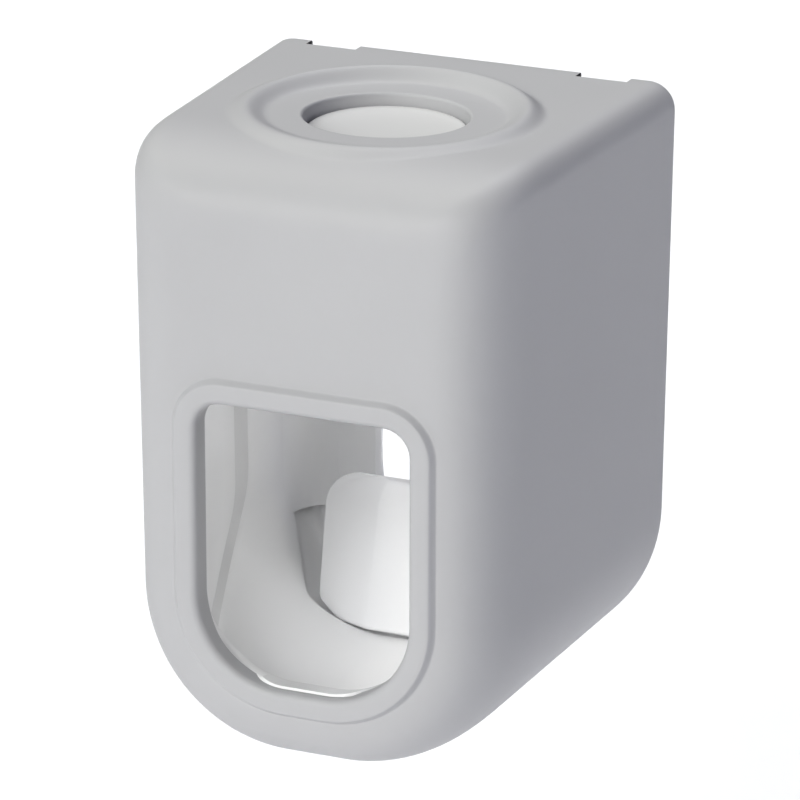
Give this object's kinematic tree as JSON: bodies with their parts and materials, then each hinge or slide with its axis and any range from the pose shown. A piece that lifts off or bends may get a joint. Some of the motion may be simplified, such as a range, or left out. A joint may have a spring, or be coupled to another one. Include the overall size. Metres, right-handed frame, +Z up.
{
  "type": "toothpaste dispenser",
  "caption": "Wall-hung toothpaste dispenser: a rounded shell with a brush window, a push lever and a pump fed by an upturned tube.",
  "frame": {"origin": "centre of the adhesive pad's face, where it meets the wall", "axes": "+X to the right as seen from the front, +Y into the wall, +Z up"},
  "size_m": [0.0678, 0.0689, 0.0978],
  "materials": {
    "shell_plastic": "satin moulded, cool light grey",
    "white_plastic": "glossy moulded white",
    "pump_plastic": "natural moulded",
    "plug_plastic": "smooth white",
    "plate_plastic": "matt moulded",
    "soft_rubber": "translucent grey silicone",
    "steel": "plain bright steel",
    "adhesive_foam": "closed-cell foam tape"
  },
  "bodies": {
    "wall": {"wall_plate": "plate_plastic", "adhesive_pad": "adhesive_foam"},
    "dispenser": {"outer_shell": "shell_plastic", "drip_liner": "white_plastic", "core_frame": "white_plastic", "lever_pin": "steel", "pin_clips": "steel", "pump_body": "pump_plastic", "pump_cap": "pump_plastic", "inlet_valve": "soft_rubber", "return_spring": "steel", "nozzle": "pump_plastic", "outlet_valve": "soft_rubber", "tube_seal": "soft_rubber", "seal_ring": "soft_rubber", "frame_screws": "steel", "pump_screws": "steel", "shell_screws": "steel"},
    "lever": {"push_lever": "white_plastic"},
    "piston_rod": {"piston": "pump_plastic", "piston_seal": "soft_rubber"},
    "plug": {"dust_plug": "plug_plastic"}
  },
  "joints": [
    {"name": "unit_lift", "type": "slide", "parent": "wall", "child": "dispenser", "axis": [0, 0, 1], "range_m": [0, 0.008]},
    {"name": "lever_push", "type": "hinge", "parent": "dispenser", "child": "lever", "pos_m": [0, -0.0104, -0.0125], "axis": [1, 0, 0], "range_deg": [0, 8], "stiffness_Nm_per_rad": 0.16, "springref_deg": -6.88},
    {"name": "piston_stroke", "type": "slide", "parent": "dispenser", "child": "piston_rod", "axis": [0, -1, 0], "range_m": [0, 0.00196], "deforming": ["return_spring"]},
    {"name": "plug_lift", "type": "slide", "parent": "dispenser", "child": "plug", "axis": [0, 0, 1], "range_m": [0, 0.08]}
  ],
  "couplings": [
    {"joint": "piston_stroke", "follows": "lever_push", "m_per_rad": 0.014}
  ]
}
